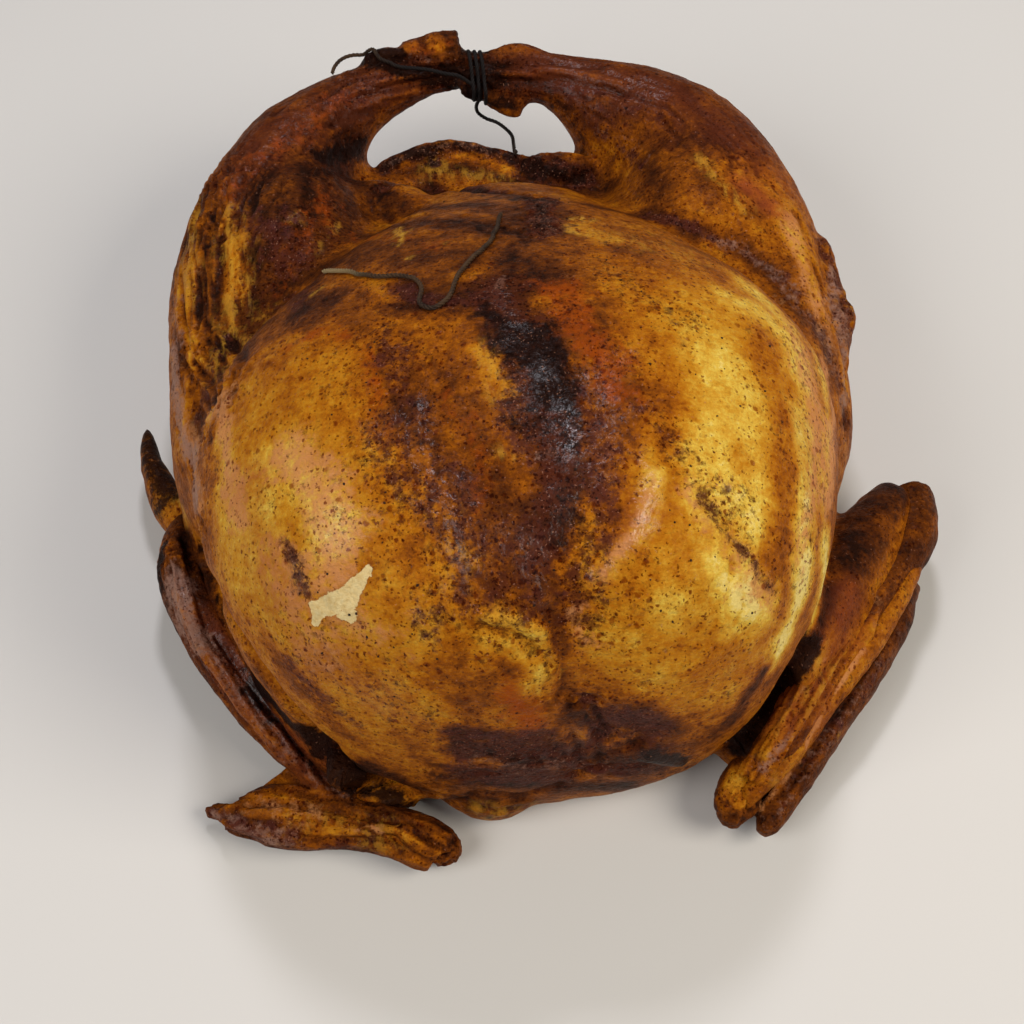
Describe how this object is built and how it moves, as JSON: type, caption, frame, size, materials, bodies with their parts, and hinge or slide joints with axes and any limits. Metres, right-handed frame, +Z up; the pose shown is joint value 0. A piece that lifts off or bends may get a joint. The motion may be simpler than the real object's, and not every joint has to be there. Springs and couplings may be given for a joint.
{
  "type": "roast turducken",
  "caption": "Whole roast stuffed bird on its back, wings folded beside it and leg ends tied with butcher's twine, to be set on a board and carved.",
  "frame": {"origin": "on the flat that the bird rests on, under the middle of its back and its line of symmetry", "axes": "+X to the viewer's right when the neck end is nearest, +Y from the neck end to the leg ends, +Z up"},
  "size_m": [0.3285, 0.3602, 0.1577],
  "materials": {
    "roast_skin": "glossy browned poultry skin, golden on the breast and nearly black along its top",
    "twine": "matt cotton twine browned in the oven"
  },
  "bodies": {
    "root": {"bird": "roast_skin", "leg_tie": "twine", "twine_span": "twine", "twine_loop": "twine", "twine_tail": "twine"}
  },
  "joints": []
}
